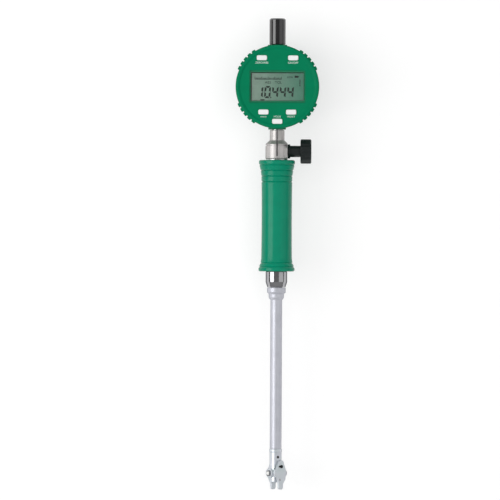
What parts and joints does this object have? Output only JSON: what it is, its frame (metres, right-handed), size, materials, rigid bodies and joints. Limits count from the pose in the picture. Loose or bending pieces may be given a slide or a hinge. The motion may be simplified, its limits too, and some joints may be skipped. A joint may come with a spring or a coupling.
{
  "type": "dial bore gauge",
  "caption": "Bore gauge with a round digital indicator, split stem clamp with side knob, green grip, slim tube and a two-point measuring head with a centring yoke.",
  "frame": {"origin": "centre of the bounding box on the surface that the gauge lies on", "axes": "+Y along the gauge towards the cap of the indicator, +Z out of the display, +X towards the clamp knob"},
  "size_m": [0.0604, 0.3404, 0.0283],
  "materials": {
    "green_plastic": "moulded green plastic, satin to glossy",
    "case_plastic": "moulded green plastic, fine matt texture",
    "black_plastic": "smooth black plastic",
    "white_plastic": "white push keys",
    "window_plastic": "clear window",
    "display_glass": "grey-green reflective display",
    "board": "glass fibre circuit board",
    "rubber": "moulded rubber",
    "steel": "ground steel",
    "tube_steel": "satin plated tube",
    "head_steel": "nickel plated steel",
    "bright_metal": "bright plated",
    "brass": "turned brass",
    "light_metal": "turned",
    "dark_screw": "blackened steel",
    "ceramic": "polished white ceramic"
  },
  "bodies": {
    "handle": {"clamp_body": "bright_metal", "grip": "green_plastic", "handle_core": "light_metal", "handle_collar": "bright_metal", "nose_ring": "bright_metal", "gauge_tube": "tube_steel", "rod_spring": "steel", "rod_guide_upper": "brass", "rod_guides": "brass", "head_body": "head_steel", "crank_pin": "steel", "anvil_key_screw": "dark_screw", "reference_anvil": "steel", "reference_ball": "ceramic", "reference_spacer": "steel", "reference_nut": "head_steel", "head_set_screw": "dark_screw", "yoke_spring": "steel", "yoke_plug_screw": "dark_screw", "yoke_guide_screws": "dark_screw"},
    "indicator": {"case_body": "case_plastic", "friction_ring": "rubber", "rear_cover": "case_plastic", "cover_screws": "steel", "battery_cover": "case_plastic", "battery": "bright_metal", "battery_contact": "steel", "reader_board": "board", "reader_screws": "steel", "stem": "steel", "stem_bushes": "brass", "cap_bush": "brass", "spindle_cap": "black_plastic", "spindle_spring": "steel"},
    "display": {"face_housing": "green_plastic", "window": "window_plastic", "display_module": "display_glass", "circuit_board": "board", "board_screws": "steel", "keypad": "rubber"},
    "button_upper_left": {"button_upper_left": "white_plastic"},
    "button_upper_right": {"button_upper_right": "white_plastic"},
    "button_lower_left": {"button_lower_left": "white_plastic"},
    "button_lower_right": {"button_lower_right": "white_plastic"},
    "button_bottom": {"button_bottom": "white_plastic"},
    "spindle": {"spindle": "steel", "contact_point": "steel", "scale_carrier": "light_metal", "scale_strip": "board"},
    "push_rod": {"push_rod": "steel", "rod_spring_seat": "brass"},
    "bell_crank": {"bell_crank": "steel"},
    "measuring_anvil": {"anvil_plunger": "steel", "anvil_ball": "ceramic"},
    "centring_yoke": {"yoke_cheek_near": "head_steel", "yoke_cheek_far": "head_steel", "yoke_bar": "steel"},
    "clamp_pad": {"clamp_pad": "brass"},
    "clamp_knob": {"clamp_knob": "black_plastic", "clamp_screw": "steel"}
  },
  "joints": [
    {"name": "indicator_swivel", "type": "hinge", "parent": "handle", "child": "indicator", "pos_m": [0, 0.07415, 0.0131], "axis": [0, 1, 0], "range_deg": [-90, 90]},
    {"name": "display_turn", "type": "hinge", "parent": "indicator", "child": "display", "pos_m": [0, 0.12075, 0.0191], "axis": [0, 0, 1], "range_deg": [-135, 135]},
    {"name": "press_upper_left", "type": "slide", "parent": "display", "child": "button_upper_left", "axis": [0, 0, -1], "range_m": [0, 0.0004], "stiffness_N_per_m": 300, "springref_m": -0.001},
    {"name": "press_upper_right", "type": "slide", "parent": "display", "child": "button_upper_right", "axis": [0, 0, -1], "range_m": [0, 0.0004], "stiffness_N_per_m": 300, "springref_m": -0.001},
    {"name": "press_lower_left", "type": "slide", "parent": "display", "child": "button_lower_left", "axis": [0, 0, -1], "range_m": [0, 0.0004], "stiffness_N_per_m": 300, "springref_m": -0.001},
    {"name": "press_lower_right", "type": "slide", "parent": "display", "child": "button_lower_right", "axis": [0, 0, -1], "range_m": [0, 0.0004], "stiffness_N_per_m": 300, "springref_m": -0.001},
    {"name": "press_bottom", "type": "slide", "parent": "display", "child": "button_bottom", "axis": [0, 0, -1], "range_m": [0, 0.0004], "stiffness_N_per_m": 300, "springref_m": -0.001},
    {"name": "push_rod_travel", "type": "slide", "parent": "handle", "child": "push_rod", "axis": [0, 1, 0], "range_m": [0, 0.0012], "stiffness_N_per_m": 400, "springref_m": -0.003, "deforming": ["rod_spring"]},
    {"name": "spindle_travel", "type": "slide", "parent": "indicator", "child": "spindle", "axis": [0, 1, 0], "range_m": [0, 0.0012], "deforming": ["spindle_spring"]},
    {"name": "crank_turn", "type": "hinge", "parent": "handle", "child": "bell_crank", "pos_m": [-0.00249, -0.15545, 0.01478], "axis": [0.5592, 0, 0.829], "range_deg": [0, 23]},
    {"name": "anvil_travel", "type": "slide", "parent": "handle", "child": "measuring_anvil", "axis": [0.829, 0, -0.5592], "range_m": [0, 0.0012]},
    {"name": "yoke_travel", "type": "slide", "parent": "handle", "child": "centring_yoke", "axis": [0.829, 0, -0.5592], "range_m": [0, 0.0015], "stiffness_N_per_m": 300, "springref_m": -0.002, "deforming": ["yoke_spring"]},
    {"name": "clamp_travel", "type": "slide", "parent": "handle", "child": "clamp_pad", "axis": [1, 0, 0], "range_m": [0, 0.001]},
    {"name": "knob_turn", "type": "hinge", "parent": "clamp_pad", "child": "clamp_knob", "pos_m": [0.016, 0.07415, 0.0131], "axis": [1, 0, 0], "range_deg": [0, 361]}
  ],
  "couplings": [
    {"joint": "spindle_travel", "follows": "push_rod_travel", "ratio": 1},
    {"joint": "anvil_travel", "follows": "push_rod_travel", "ratio": 1},
    {"joint": "crank_turn", "follows": "push_rod_travel", "rad_per_m": 333.33},
    {"joint": "knob_turn", "follows": "clamp_travel", "rad_per_m": 6283.2}
  ]
}
